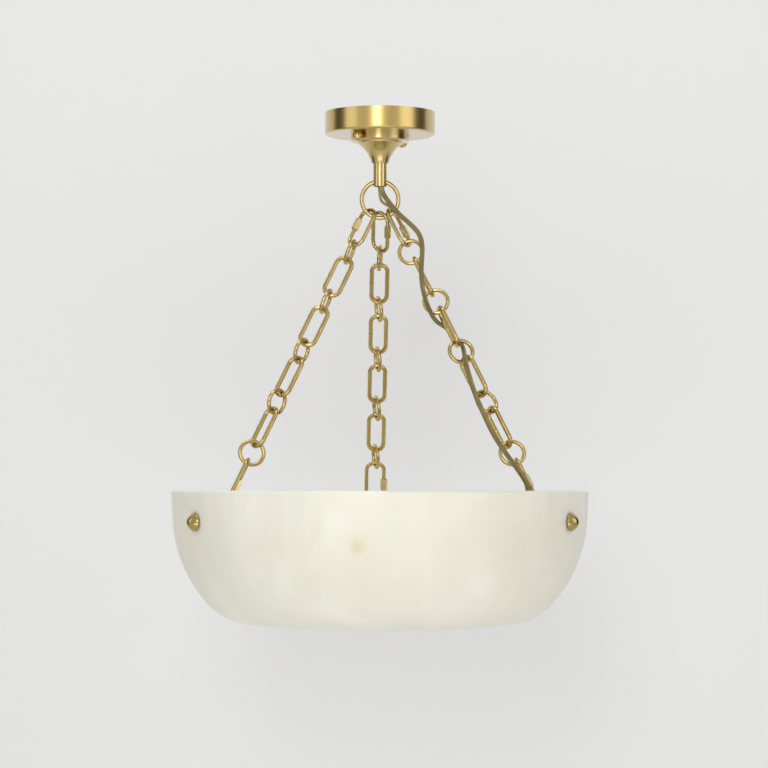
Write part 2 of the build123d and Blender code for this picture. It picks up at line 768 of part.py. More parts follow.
def wire_solid(name, points, diameter):
    """A round wire of straight runs and tangent bends, with its length and bends printed."""
    radii = bend_radii(points)
    with BuildPart() as wire:
        with BuildLine() as route:
            FilletPolyline(*points, radius=radii)
        with BuildSketch(Plane(origin=route.line @ 0, z_dir=route.line % 0)):
            Circle(diameter / 2)
        sweep()
    length = sum(edge.length for edge in route.line.edges())
    share = wire.part.volume / (length * 3.14159265 * diameter**2 / 4)
    print(f"{name}: {length:.1f} long, bends {min(radii):.1f} or more, volume share {share:.4f}")
    return wire.part


# Supply leads: three insulated wires up the stem and nipple; two end in connectors, one at an earth screw
lead_azimuths = (171.0, 291.0)
lead_routes = []
for azimuth in lead_azimuths:
    lead_routes.append(
        [
            along_azimuth(lead_circle, azimuth, lead_foot),
            along_azimuth(lead_circle, azimuth, lead_height),
            along_azimuth(lead_run, azimuth, lead_height),
        ]
    )
lead_solids = [wire_solid("supply lead", route, lead_diameter) for route in lead_routes]
with BuildPart() as supply_leads:
    add(lead_solids)
supply_leads.part.label = "supply_leads"
export_step(supply_leads.part, "parts/supply_leads.step")

earth_azimuth = screw_azimuth - 180
earth_lead_route = [
    along_azimuth(lead_circle, earth_azimuth, lead_foot),
    along_azimuth(lead_circle, earth_azimuth, earth_lead_height),
    along_azimuth(earth_screw_circle - earth_screw_head - stack_gap, earth_azimuth, earth_lead_height),
]
earth_lead_solid = wire_solid("earth lead", earth_lead_route, lead_diameter)
with BuildPart() as earth_lead:
    add(earth_lead_solid)
earth_lead.part.label = "earth_lead"
export_step(earth_lead.part, "parts/earth_lead.step")

with BuildPart() as wire_connectors:
    for azimuth in lead_azimuths:
        connector_mouth_plane = radial_plane(azimuth, lead_height).offset(lead_run)
        with BuildSketch(connector_mouth_plane):
            Circle(connector_mouth)
        with BuildSketch(connector_mouth_plane.offset(connector_length)):
            Circle(connector_tip)
        loft()
wire_connectors.part.label = "wire_connectors"
export_step(wire_connectors.part, "parts/wire_connectors.step")

with BuildPart() as earth_screw:
    with BuildSketch(
        Plane(origin=along_azimuth(earth_screw_circle, earth_azimuth, -strap_thickness))
    ) as screw_head:
        Circle(earth_screw_head)
    extrude(amount=-earth_screw_depth)
    chamfer(earth_screw.edges().sort_by(Axis.Z)[0], 0.8)
earth_screw.part.label = "earth_screw"
export_step(earth_screw.part, "parts/earth_screw.step")

# Cord: out of the stem, in and out beside the right-hand chain, over the rim and down to the hub
cord_route = [
    Vector(1.2, -4.4, -72.0),
    Vector(1.2, -4.6, -84.0),
    Vector(7.0, -7.0, -95.0),
    Vector(19.0, -12.5, -110.5),
    Vector(32.5, -18.5, -122.5),
    Vector(42.5, -24.5, -133.5),
    Vector(46.0, -31.5, -148.0),
    Vector(44.0, -43.0, -171.0),
    Vector(44.5, -50.0, -189.5),
    Vector(48.0, -51.0, -205.5),
    Vector(53.0, -45.0, -218.5),
    Vector(60.0, -26.0, -229.0),
    Vector(70.5, -16.5, -234.0),
    Vector(83.0, -19.5, -246.5),
    Vector(89.0, -39.0, -256.0),
    Vector(90.0, -73.0, -272.0),
    Vector(93.5, -79.0, -287.5),
    Vector(100.0, -79.5, -308.5),
    Vector(107.5, -79.0, -325.5),
    Vector(114.5, -80.0, -341.0),
    Vector(121.0, -83.0, -354.0),
    Vector(129.0, -89.0, -366.5),
    Vector(138.5, -96.5, -380.5),
    Vector(147.5, -101.0, -393.0),
    Vector(155.5, -101.5, -407.0),
    Vector(154.0, -96.0, -429.5),
    Vector(141.0, -82.0, -461.5),
    Vector(118.0, -67.0, -494.5),
    Vector(90.0, -50.0, -519.5),
    along_azimuth(62.5, cord_azimuth, bushing_z),
    along_azimuth(hub_radius + bushing_length, cord_azimuth, bushing_z),
]
cord_solid = wire_solid("cord", cord_route, cord_diameter)
with BuildPart() as cord:
    add(cord_solid)
cord.part.label = "cord"
export_step(cord.part, "parts/cord.step")

# Earth wire: behind the ring's wire in the stem, then close behind the cord all the way
pair_distance = (cord_diameter + earth_diameter) / 2 + 0.5
earth_route = [
    Vector(-0.8, 4.4, -72.0),
    Vector(-1.0, 5.0, -85.0),
    Vector(1.5, 1.5, -97.0),
    Vector(10.0, -4.0, -102.0),
] + beside(cord_route, pair_distance)[3:]
# Its last point lies level with the cord's, on the bushing's face
earth_end = along_azimuth(hub_radius + bushing_length, cord_azimuth, bushing_z)
earth_route[-1] = earth_end - radial_plane(cord_azimuth, 0).y_dir * pair_distance
earth_solid = wire_solid("earth wire", earth_route, earth_diameter)
with BuildPart() as earth_wire:
    add(earth_solid)
earth_wire.part.label = "earth_wire"
export_step(earth_wire.part, "parts/earth_wire.step")
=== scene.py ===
# %% [markdown]
# # A stone bowl on three chains
# This lesson dresses a ceiling pendant: a turned alabaster bowl that hangs from a brass canopy by
# three chains of links. The measured model is loaded first and never moves. Where it already has the
# whole shape, as in the canopy and the bowl, it only gets a finish. Where it is plainer than the real
# piece, as in the wire of the links, a finer surface takes its place. All sizes are in metres.

import bmesh
import bpy
import numpy as np
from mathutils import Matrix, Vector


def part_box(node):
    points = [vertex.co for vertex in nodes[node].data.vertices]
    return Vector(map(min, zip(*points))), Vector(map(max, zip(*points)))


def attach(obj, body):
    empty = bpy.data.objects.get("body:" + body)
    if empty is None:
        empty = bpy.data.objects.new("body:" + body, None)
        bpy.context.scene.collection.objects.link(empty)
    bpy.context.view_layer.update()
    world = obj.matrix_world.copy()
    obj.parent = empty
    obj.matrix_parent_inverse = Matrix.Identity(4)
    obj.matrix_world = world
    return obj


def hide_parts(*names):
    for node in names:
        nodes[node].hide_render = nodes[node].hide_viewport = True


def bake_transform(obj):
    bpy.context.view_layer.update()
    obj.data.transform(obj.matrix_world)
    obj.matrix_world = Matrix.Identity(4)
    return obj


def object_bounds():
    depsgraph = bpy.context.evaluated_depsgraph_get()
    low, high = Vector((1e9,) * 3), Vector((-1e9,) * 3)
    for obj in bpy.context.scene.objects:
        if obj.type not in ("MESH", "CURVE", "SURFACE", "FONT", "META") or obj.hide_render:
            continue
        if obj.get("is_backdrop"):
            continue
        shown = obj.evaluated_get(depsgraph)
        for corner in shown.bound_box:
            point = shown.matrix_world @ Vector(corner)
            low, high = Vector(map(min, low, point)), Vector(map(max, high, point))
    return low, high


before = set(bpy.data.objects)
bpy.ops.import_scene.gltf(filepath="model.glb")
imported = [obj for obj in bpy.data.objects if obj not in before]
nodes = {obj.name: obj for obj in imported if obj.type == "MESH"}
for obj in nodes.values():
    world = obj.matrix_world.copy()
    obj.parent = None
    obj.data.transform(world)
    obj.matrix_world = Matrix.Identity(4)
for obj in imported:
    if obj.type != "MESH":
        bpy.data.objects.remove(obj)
cad_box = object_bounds()
SIDES = ("back", "left", "right")
lowest, highest = [tuple(round(v, 3) for v in corner) for corner in cad_box]
print(len(nodes), "nodes, from", lowest, "to", highest)

# %% [markdown]
# ## The camera
# The lamp was seen from nearly three metres away through a long lens that looks up by a little over
# two degrees. The camera stands at the height of the bowl's rim, because only from there is a round
# rim a straight line. Its distance decides how much of the canopy's underside shows.

# %% The camera at the height of the rim
PICTURE_SIDE, FOCAL_PIXELS, SENSOR_WIDTH = 768, 2700, 36.0
CAMERA_PLACE, CAMERA_TILT = (0.0043, -2.9227, -0.4102), 92.26


def into_scene(name, data):
    """An object of its own for a mesh, a lamp or a lens, linked to the scene."""
    thing = bpy.data.objects.new(name, data)
    bpy.context.scene.collection.objects.link(thing)
    return thing


lens = bpy.data.cameras.new("camera")
lens.sensor_width = SENSOR_WIDTH
lens.lens = FOCAL_PIXELS / PICTURE_SIDE * SENSOR_WIDTH
lens.clip_start, lens.clip_end = 0.05, 40
camera = into_scene("camera", lens)
camera.location = CAMERA_PLACE
camera.rotation_euler = (np.radians(CAMERA_TILT), 0, 0)
bpy.context.scene.camera = camera
print("lens", round(lens.lens, 1), "mm")

# %% [markdown]
# ## Surfaces as grids of points
# Every new piece here is a grid of points that a formula fills at once. A curve with a round bevel
# would give plain wire sooner, but not a weld's swelling or a thread. The grid is joined into
# four-sided faces, rows that end in one point close its ends, and doubled points are merged. That
# gives closed skins whose faces can be turned outwards in one call.

# %% A grid becomes faces and a map
def grid_faces(rows, columns, start):
    """Corners of the faces of a grid whose columns close round: each face joins a point, the next
    one in its row and the two in the row after."""
    i, j = np.meshgrid(np.arange(rows - 1), np.arange(columns), indexing="ij")
    this_row, next_row, beside = start + i * columns, start + (i + 1) * columns, (j + 1) % columns
    return np.stack([this_row + j, this_row + beside, next_row + beside, next_row + j], -1).reshape(-1, 4)


def grid_map(rows, columns, length):
    """The same corners in the piece's own map: u is metres along the rows, v turns round the columns."""
    i, j = np.meshgrid(np.arange(rows - 1), np.arange(columns), indexing="ij")
    corners = np.stack([i, j, i, j + 1, i + 1, j + 1, i + 1, j], -1).reshape(-1, 2)
    return corners * np.array([length / (rows - 1), 1 / columns])


print("one turn of four points has the faces", grid_faces(2, 4, 0).tolist())

# %% Grids become a piece
MERGE_DISTANCE = 2e-7


def make_piece(name, grids, finish, body, stands_for, length=1.0):
    """One object from several grids of points, merged, turned outwards, shaded smooth and riding on a
    body, or on none where no body is given. The length is the map's, along the rows."""
    points, faces, corners, start = [], [], [], 0
    for grid in grids:
        rows, columns = grid.shape[:2]
        points.append(grid.reshape(-1, 3))
        faces.append(grid_faces(rows, columns, start))
        corners.append(grid_map(rows, columns, length))
        start += rows * columns
    mesh = bpy.data.meshes.new(name)
    mesh.from_pydata(np.concatenate(points).tolist(), [], np.concatenate(faces).tolist())
    skin = np.concatenate(corners).astype(np.float32)
    mesh.uv_layers.new(name="skin").data.foreach_set("uv", skin.ravel())
    work = bmesh.new()
    work.from_mesh(mesh)
    bmesh.ops.remove_doubles(work, verts=work.verts, dist=MERGE_DISTANCE)
    bmesh.ops.recalc_face_normals(work, faces=work.faces)
    work.to_mesh(mesh)
    work.free()
    mesh.polygons.foreach_set("use_smooth", np.ones(len(mesh.polygons), bool))
    mesh.materials.append(finish)
    piece = into_scene(name, mesh)
    if body:
        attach(piece, body)
    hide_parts(*stands_for)
    print(f"{name}: {len(mesh.polygons)} faces")
    return piece


# %% [markdown]
# ## Where each link lies
# A node of the measured model holds several links. Their places could be typed in here, but places
# that are read from the model follow when a size in it changes. Points that share edges belong to one
# solid, so labels that spread along the edges sort the links out. The directions in which a solid is
# longest, wider and thinnest are its own axes, and one singular value decomposition finds them.

# %% Sorting a node into its solids
def solids_of(node):
    """The points of each solid in a node, highest solid first. Points less than a micrometre apart
    are one, and each takes the lowest label among its neighbours until no label changes."""
    mesh = nodes[node].data
    where = np.empty(len(mesh.vertices) * 3)
    mesh.vertices.foreach_get("co", where)
    ends = np.empty(len(mesh.edges) * 2, int)
    mesh.edges.foreach_get("vertices", ends)
    points, same = np.unique(np.round(where.reshape(-1, 3), 6), axis=0, return_inverse=True)
    a, b = same.ravel()[ends.reshape(-1, 2)].T
    label = np.arange(len(points))
    while True:
        low = np.minimum(label[a], label[b])
        spread = label.copy()
        np.minimum.at(spread, a, low)
        np.minimum.at(spread, b, low)
        spread = spread[spread]
        if (spread == label).all():
            break
        label = spread
    found = [points[label == k] for k in np.unique(label)]
    return sorted(found, key=lambda p: -p[:, 2].mean())


CHAIN = ("quick_link_top", "round_rings", "oblong_links", "quick_link_low", "bowl_ring")
print("links in one chain:", sum(len(solids_of(f"{kind}_left")) for kind in CHAIN))

# %% The axes and size of one solid
OBLONG_FROM, END_FROM, ROUNDS = 1.2, 0.6, 4


def lie_of(points):
    """A solid's middle, its axes (long, wide, thin) and its size along them. Where it is oblong, the
    axes are found again from its two rounded ends alone, so that a gap in one leg can't tilt them."""
    middle, used = points.mean(0), points
    for _ in range(ROUNDS):
        axes = np.linalg.svd(used - used.mean(0), full_matrices=False)[2]
        spans = points @ axes.T
        middle = (spans.max(0) + spans.min(0)) / 2 @ axes
        along = np.abs((points - middle) @ axes[0])
        if np.ptp(spans[:, 0]) > OBLONG_FROM * np.ptp(spans[:, 1]):
            used = points[along > END_FROM * along.max()]
    return middle, axes, np.ptp(spans, axis=0)


def lies_in(node):
    """How each solid of a node lies, highest first."""
    return [lie_of(points) for points in solids_of(node)]


print("an oblong link is", [round(1000 * v, 1) for v in lies_in("oblong_links_left")[0][2]], "mm")

# %% [markdown]
# ## Brass, in several states
# The fittings are brass under a clear lacquer. Spun sheet is satin and even, bent wire is glossier but
# browner, and the hexagonal sleeves are palest. Each could have one flat colour, but then the chains
# look cast in plastic. So one recipe with a few numbers makes all of them: a slow noise shifts the
# tone, and a fine one roughens the gloss and lifts the surface by 0.02 millimetres at most.

# %% A finish and its nodes
def add_node(finish, kind, inputs=None, **settings):
    """A node in a finish, with its settings, and each input either a number or another node's output."""
    node = finish.node_tree.nodes.new(kind)
    for key, value in settings.items():
        setattr(node, key, value)
    for key, value in (inputs or {}).items():
        if isinstance(value, bpy.types.NodeSocket):
            finish.node_tree.links.new(value, node.inputs[key])
        else:
            node.inputs[key].default_value = value
    return node


def new_finish(name, **sockets):
    """A finish with the shader's own sockets set, and the object's coordinates ready."""
    finish = bpy.data.materials.new(name)
    finish.use_nodes = True
    shader = finish.node_tree.nodes["Principled BSDF"]
    for key, value in sockets.items():
        shader.inputs[key.replace("_", " ")].default_value = value
    place = add_node(finish, "ShaderNodeTexCoord").outputs["Object"]
    return finish, shader, place


def wire_up(finish, shader, socket, output):
    """Feeds one of the shader's sockets from another node's output."""
    finish.node_tree.links.new(output, shader.inputs[socket])


finishes_before = len(bpy.data.materials)
print(finishes_before, "finishes came with the measured model")

# %% Noises, ranges, tones and bumps
def noise(finish, place, scale, detail, roughness=0.5, distortion=0.0):
    """A cloudy value from nought to one, with so many clouds to a metre and so many finer layers."""
    inputs = {"Vector": place, "Scale": scale, "Detail": detail, "Roughness": roughness}
    return add_node(finish, "ShaderNodeTexNoise", {**inputs, "Distortion": distortion}).outputs["Fac"]


def ranged(finish, value, found, wanted):
    """A value carried from the range in which it is found to the one that is wanted, and held there."""
    ends = {"From Min": found[0], "From Max": found[1], "To Min": wanted[0], "To Max": wanted[1]}
    return add_node(finish, "ShaderNodeMapRange", {"Value": value, **ends}).outputs["Result"]


def two_tones(finish, value, low_stop, high_stop):
    """A colour between two stops, each a place on the ramp and a colour."""
    ramp = add_node(finish, "ShaderNodeValToRGB", {"Fac": value})
    for element, (spot, colour) in zip(ramp.color_ramp.elements, (low_stop, high_stop)):
        element.position, element.color = spot, (*colour, 1)
    return ramp.outputs["Color"]


def lift_surface(finish, shader, height, strength, distance):
    """A bump whose height from nought to one stands for a distance."""
    bump = add_node(finish, "ShaderNodeBump", {"Height": height, "Strength": strength, "Distance": distance})
    wire_up(finish, shader, "Normal", bump.outputs["Normal"])


# %% The brass recipe and its mixtures
EVEN_NOISE, DARK_STOP, LIGHT_STOP = (0.3, 0.7), 0.34, 0.66


def brass(name, light, dark, gloss, grain=900.0, lift=0.00002, mottle=45.0, coat=0.35):
    """Brass: two tones mixed by a slow noise, roughness between two values by a fine one, and a fine
    bump, under a thin lacquer."""
    finish, shader, place = new_finish(name, Metallic=1.0, Coat_Weight=coat, Coat_Roughness=0.12)
    slow = noise(finish, place, mottle, detail=4.0, roughness=0.6)
    wire_up(finish, shader, "Base Color", two_tones(finish, slow, (DARK_STOP, dark), (LIGHT_STOP, light)))
    fine = noise(finish, place, grain, detail=3.0)
    wire_up(finish, shader, "Roughness", ranged(finish, fine, EVEN_NOISE, gloss))
    lift_surface(finish, shader, fine, strength=0.6, distance=lift)
    return finish


canopy_brass = brass(
    "spun_brass", (0.64, 0.465, 0.155), (0.59, 0.42, 0.13), (0.27, 0.31),
    grain=2600.0, lift=0.000004, mottle=14.0, coat=1.0,
)
turned_brass = brass(
    "turned_brass", (0.64, 0.485, 0.19), (0.56, 0.415, 0.15), (0.22, 0.29),
    grain=2200.0, lift=0.000006, mottle=25.0, coat=1.0,
)
# painted shade: the cap nuts are the same brass as the other fittings, given a darker colour for the shade
# on them
cap_brass = brass(
    "cap_brass", (0.48, 0.36, 0.13), (0.39, 0.285, 0.09), (0.15, 0.22),
    grain=2200.0, lift=0.000006, mottle=60.0, coat=0.6,
)
ring_brass = brass("bent_wire_brass", (0.64, 0.49, 0.20), (0.52, 0.385, 0.14), (0.17, 0.27))
link_brass = brass("link_brass", (0.64, 0.485, 0.195), (0.49, 0.355, 0.12), (0.16, 0.26))
quick_brass = brass("quick_link_brass", (0.62, 0.475, 0.20), (0.48, 0.355, 0.13), (0.17, 0.27))
sleeve_brass = brass("sleeve_brass", (0.78, 0.63, 0.31), (0.68, 0.53, 0.23), (0.2, 0.3))
print(len(bpy.data.materials) - finishes_before, "kinds of brass")

# %% [markdown]
# ## Wire bent into rings and links
# A link is round wire carried along a flat path. A ring's path is a circle. An oblong link's path is
# two straight legs and two half circles. Every link was butt welded, which leaves a small swelling.
# The path is worked out first and the skin round it after, because every kind of link can then share
# one rule for its skin.

# %% The path of an oblong link, and the wire along any path
def stadium(length, width, wire, steps):
    """Points and outward directions along the middle of an oblong link's wire. Distance along the path
    runs down one leg, round an end, up the other leg and round the other end."""
    leg = (width - wire) / 2
    bend = (length - wire) / 2 - leg
    around = np.pi * leg
    whole = 4 * bend + 2 * around
    s = steps * whole
    angle = np.clip((s - 2 * bend) / leg, 0, np.pi) + np.clip((s - 4 * bend - around) / leg, 0, np.pi)
    down = np.clip(s, 0, 2 * bend) - np.clip(s - 2 * bend - around, 0, 2 * bend)
    outward = np.stack([np.sin(angle), np.cos(angle)], -1)
    spot = np.stack([down - bend, np.zeros_like(s)], -1) + leg * outward
    return spot, outward


def wire_along(spot, outward, lie, radius, sides=24):
    """Round wire: each point of the path plus the radius times (cosine outward plus sine across)."""
    middle, axes, _ = lie
    v = np.linspace(0, 2 * np.pi, sides, endpoint=False)
    flat = spot @ axes[:2]
    out = outward @ axes[:2]
    swing = np.cos(v)[None, :, None] * out[:, None, :] + np.sin(v)[None, :, None] * axes[2]
    return middle + flat[:, None, :] + radius[:, None, None] * swing


print("half way round a link of 40 by 20 mm lies at", stadium(0.040, 0.020, 0.004, np.array([0.5]))[0][0])

# %% Rings and oblong links with their welds
RING_WIRE, RING_SWELLING, RING_WELD = 0.0042, 0.05, 0.06  # metres, share of the radius, radians
OBLONG_WIRE, OBLONG_SWELLING, OBLONG_WELD = 0.0048, 0.09, 0.0011  # metres, share of the radius, metres


def ring_grid(lie, wire, weld, steps=96):
    """A closed ring: its path is a circle, and the weld swells the wire over a few degrees."""
    u = np.linspace(0, 2 * np.pi, steps + 1)
    outward = np.stack([np.cos(u), np.sin(u)], -1)
    large = (lie[2][0] - wire) / 2
    away = np.abs((u - weld + np.pi) % (2 * np.pi) - np.pi)
    radius = wire / 2 * (1 + RING_SWELLING * np.exp(-((away / RING_WELD) ** 2)))
    return wire_along(large * outward, outward, lie, radius)


def oblong_grid(lie, wire, weld_side, steps=150):
    """A closed oblong link whose weld swells the wire round the middle of one leg. The link is
    mirrored where the weld is on the other leg."""
    spot, outward = stadium(lie[2][0], lie[2][1], wire, np.linspace(0, 1, steps + 1))
    away = np.where(outward[:, 1] > 0.5, np.abs(spot[:, 0]), np.inf)
    radius = wire / 2 * (1 + OBLONG_SWELLING * np.exp(-((away / OBLONG_WELD) ** 2)))
    mirror = [1, weld_side]
    return wire_along(spot * mirror, outward * mirror, lie, radius)


WHOLE_TURN, LARGE_RING_WELD = 6.28, 1.0
chance = np.random.default_rng(4)
for side in SIDES:
    node = f"round_rings_{side}"
    rings = [ring_grid(lie, RING_WIRE, chance.uniform(0, WHOLE_TURN)) for lie in lies_in(node)]
    make_piece(f"wire_rings_{side}", rings, link_brass, "pendant", [node])
    node = f"oblong_links_{side}"
    oblongs = [oblong_grid(lie, OBLONG_WIRE, chance.choice([-1, 1])) for lie in lies_in(node)]
    make_piece(f"wire_oblongs_{side}", oblongs, link_brass, "pendant", [node])
    node = f"bowl_ring_{side}"
    large = [ring_grid(lie, RING_WIRE, LARGE_RING_WELD) for lie in lies_in(node)]
    make_piece(f"wire_bowl_ring_{side}", large, link_brass, "pendant", [node])

# %% [markdown]
# ## Quick links
# A quick link is opened by screwing its sleeve along one leg. The wire ends in two threaded tips
# inside the sleeve, and the end of the thread shows beside it as a few dark turns. A true helix
# could be cut into the wire, but a wave in its radius shows the same turns and closes cleanly.

# %% Threaded wire with a gap
QUICK_WIRE, PITCH, THREAD_DEPTH = 0.0044, 0.0008, 0.00022
GAP_START, GAP_END = 0.0025, 0.0075
THREAD_LENGTH, DENSE_LENGTH, DENSE_ROWS, SMOOTH_ROWS = 0.0095, 0.011, 90, 130
TIP_FACE, TIP_EDGE = 1e-7, 2e-5  # shares of the wire's length


def quick_grid(lie, wire, sleeve_middle):
    """Round wire that starts at one side of the gap, goes all round the link and ends at the other
    side. The gap is measured from the leg's middle towards the sleeve. Near both tips the radius
    follows a wave, which is the thread, and each tip closes in a point."""
    middle, axes, size = lie
    leg = (size[1] - wire) / 2
    bend = (size[0] - wire) / 2 - leg
    whole = 4 * bend + 2 * np.pi * leg
    first, last, dense = (GAP_END + bend) / whole, (GAP_START + bend + whole) / whole, DENSE_LENGTH / whole
    steps = np.concatenate([
        [first, first + TIP_FACE],
        np.linspace(first + TIP_EDGE, first + dense, DENSE_ROWS),
        np.linspace(first + dense, last - dense, SMOOTH_ROWS)[1:-1],
        np.linspace(last - dense, last - TIP_EDGE, DENSE_ROWS),
        [last - TIP_FACE, last],
    ])
    spot, outward = stadium(size[0], size[1], wire, steps % 1.0)
    mirror = np.sign((sleeve_middle - middle) @ axes.T)[:2]
    from_tip = np.minimum(steps - first, last - steps) * whole
    cut = np.clip((THREAD_LENGTH - from_tip) / PITCH, 0, 1)
    radius = wire / 2 - cut * THREAD_DEPTH * (1 + np.cos(2 * np.pi * from_tip / PITCH))
    radius[[0, -1]] = 0
    return wire_along(spot * mirror, outward * mirror, lie, radius)


for side in SIDES:
    for end in ("top", "low"):
        node = f"quick_link_{end}_{side}"
        sleeve = solids_of(f"sleeve_{end}_{side}")[0]
        grid = quick_grid(lies_in(node)[0], QUICK_WIRE, (sleeve.max(0) + sleeve.min(0)) / 2)
        make_piece(f"threaded_link_{end}_{side}", [grid], quick_brass, "pendant", [node])

# %% [markdown]
# ## Eye bolts and their caps
# Each chain ends on an eye bolt that goes through the bowl's wall. The eye is a ring, and the shank
# is a profile turned about its own axis. So is the cap nut outside, whose crown falls away from its
# top as the square of the radius. The measured model says where the bolt's tip is and how high it
# lies. Its own eye, a wire of eight sides, and its own crown, two plain arcs, both show up close.

# %% Profiles of a bolt and a cap, as distances along their axis and radii
EYE_WIRE, EYE_ACROSS, EYE_MIDDLE = 0.0042, 0.0166, 0.0261
BOLT_RADIUS, BOLT_WAVE, THREAD_TO, COLLAR_FACE = 0.00235, 0.00015, 0.0166, 0.0174
CAP_TALL, CAP_RADIUS, CAP_EDGE, BOLT_IN_CAP = 0.009, 0.010, 0.0013, 0.005


def turned_along(profile, start, way, sides=32):
    """A profile of (distance, radius) turned about a line: start plus distance along the line plus
    the radius times (cosine of one square direction plus sine of the other)."""
    square = np.cross(way, [0, 0, 1])
    v = np.linspace(0, 2 * np.pi, sides, endpoint=False)
    round_it = np.cos(v)[:, None] * square + np.sin(v)[:, None] * np.array([0, 0, 1])
    return start + profile[:, None, :1] * way + profile[:, None, 1:] * round_it[None]


down_thread = np.linspace(0, THREAD_TO, 100)
wave = BOLT_WAVE * np.cos(2 * np.pi * down_thread / PITCH)
shank = np.concatenate([
    [(0.0199, 0), (0.0199, 0.002), (0.0196, 0.0021), (0.0190, 0.0024), (0.0185, 0.0028), (0.01842, 0.0037)],
    [(0.0182, 0.00398), (0.0176, 0.00398), (0.01742, 0.0038), (COLLAR_FACE, 0.0026)],
    np.stack([COLLAR_FACE - down_thread, BOLT_RADIUS + wave], -1),
    [(0.0003, 0.0021), (0.0, 0.0017), (0.0, 0)],
])
inwards = np.linspace(1, 0, 40)
cap = np.concatenate([
    [(0.006, 0), (0.006, 0.00262), (0.0059, 0.00272), (0.0001, 0.00272), (0, 0.00282)],
    [(0, 0.0097), (0.0001, 0.0099), (0.0003, 0.01)],
    np.stack([CAP_TALL - (CAP_TALL - CAP_EDGE) * inwards**2, CAP_RADIUS * inwards], -1),
])
print("a bolt's profile has", len(shank), "points and a cap's", len(cap))

# %% Three bolts and three caps
for side in SIDES:
    bolt = solids_of(f"eye_bolt_{side}")[0]
    height = (bolt[:, 2].max() + bolt[:, 2].min()) / 2
    flat = bolt[:, :2].mean(0) / np.linalg.norm(bolt[:, :2].mean(0))
    way = np.array([*flat, 0])
    tip = way * (bolt @ way).max() + [0, 0, height]
    axes = np.array([way, np.cross([0, 0, 1], way), [0, 0, 1]])
    eye = (tip - EYE_MIDDLE * way, axes, (EYE_ACROSS, EYE_ACROSS, EYE_WIRE))
    grids = [ring_grid(eye, EYE_WIRE, weld=np.pi), turned_along(shank, tip, -way)]
    make_piece(f"smooth_eye_bolt_{side}", grids, link_brass, "pendant", [f"eye_bolt_{side}"])
    crown = turned_along(cap, tip - BOLT_IN_CAP * way, way, sides=48)
    # the caps wear the darker brass, which is painted shade
    make_piece(f"domed_cap_{side}", [crown], cap_brass, "pendant", [f"cap_nut_{side}"])

# %% [markdown]
# ## Finishes for the measured pieces
# The canopy, the trumpet, the stem, the two ball nuts, the hanger ring and the sleeves keep their
# measured shapes. They could be worked out again as grids, but spun and turned metal is already
# round enough in the model, so each only changes its finish.

# %% Painting a node
def paint(names, finish):
    """Takes off what a few nodes wear and gives them one finish."""
    for name in names:
        slots = nodes[name].data.materials
        slots.clear()
        slots.append(finish)
    print(finish.name, "on", len(names), "nodes")


paint(["canopy"], canopy_brass)
paint(["trumpet", "stem", "ball_nut_front", "ball_nut_rear"], turned_brass)
paint(["nipple", "nipple_nut", "nipple_washer", "plate_washers"], link_brass)
paint(["hanger_ring"], ring_brass)
paint([f"sleeve_{end}_{side}" for end in ("top", "low") for side in SIDES], sleeve_brass)

# %% [markdown]
# ## Alabaster
# Alabaster is gypsum, soft and slightly clear, so light goes a little way in. It is warm white with
# slow clouds, a faint grey-green mottling and a few ochre stains. A picture of stone could be wrapped
# round the bowl, but its seam would show. Noises that fill the space in which the bowl stands have no
# seam. Turning and polishing leave a low sheen.

# %% Mixing colours and values
def blended(finish, factor, first, second):
    """The first colour, and the second one where the factor is one."""
    inputs = {"Factor": factor, "A": first, "B": second}
    return add_node(finish, "ShaderNodeMix", inputs, data_type="RGBA").outputs["Result"]


def reckon(finish, operation, first, second, held=False):
    """Two values multiplied or added, and held between nought and one where asked."""
    inputs = {0: first, 1: second}
    return add_node(finish, "ShaderNodeMath", inputs, operation=operation, use_clamp=held).outputs["Value"]


# %% Where the stone is stained
STAINS = (  # middle, reach in each direction, strength, colour
    ((-0.023, -0.2205, -0.466), (0.010, 0.02, 0.011), 0.75, (0.66, 0.60, 0.34)),
    ((-0.020, -0.2205, -0.466), (0.018, 0.03, 0.02), 0.3, (0.78, 0.73, 0.52)),
    ((-0.062, -0.213, -0.447), (0.012, 0.03, 0.036), 0.4, (0.79, 0.72, 0.50)),
    ((-0.012, -0.2, -0.49), (0.03, 0.05, 0.06), 0.2, (0.82, 0.74, 0.58)),
    ((-0.12, -0.19, -0.465), (0.03, 0.05, 0.03), 0.25, (0.84, 0.76, 0.62)),
    ((0.14, -0.16, -0.455), (0.03, 0.05, 0.04), 0.25, (0.83, 0.76, 0.62)),
    ((0.15, -0.16, -0.48), (0.11, 0.14, 0.10), 0.4, (0.82, 0.78, 0.63)),
    ((-0.16, -0.15, -0.50), (0.09, 0.12, 0.08), 0.35, (0.77, 0.79, 0.69)),
    ((0.03, 0.21, -0.49), (0.05, 0.05, 0.05), 0.3, (0.80, 0.74, 0.56)),
)


def stain_at(finish, place, middle, reach):
    """One at a point and falling evenly to nothing at the reach in each direction."""
    moved = {"Location": tuple(-m / r for m, r in zip(middle, reach)), "Scale": tuple(1 / r for r in reach)}
    near = {"Vector": add_node(finish, "ShaderNodeMapping", {"Vector": place, **moved}).outputs["Vector"]}
    return add_node(finish, "ShaderNodeTexGradient", near, gradient_type="SPHERICAL").outputs["Fac"]


print(len(STAINS), "stains")

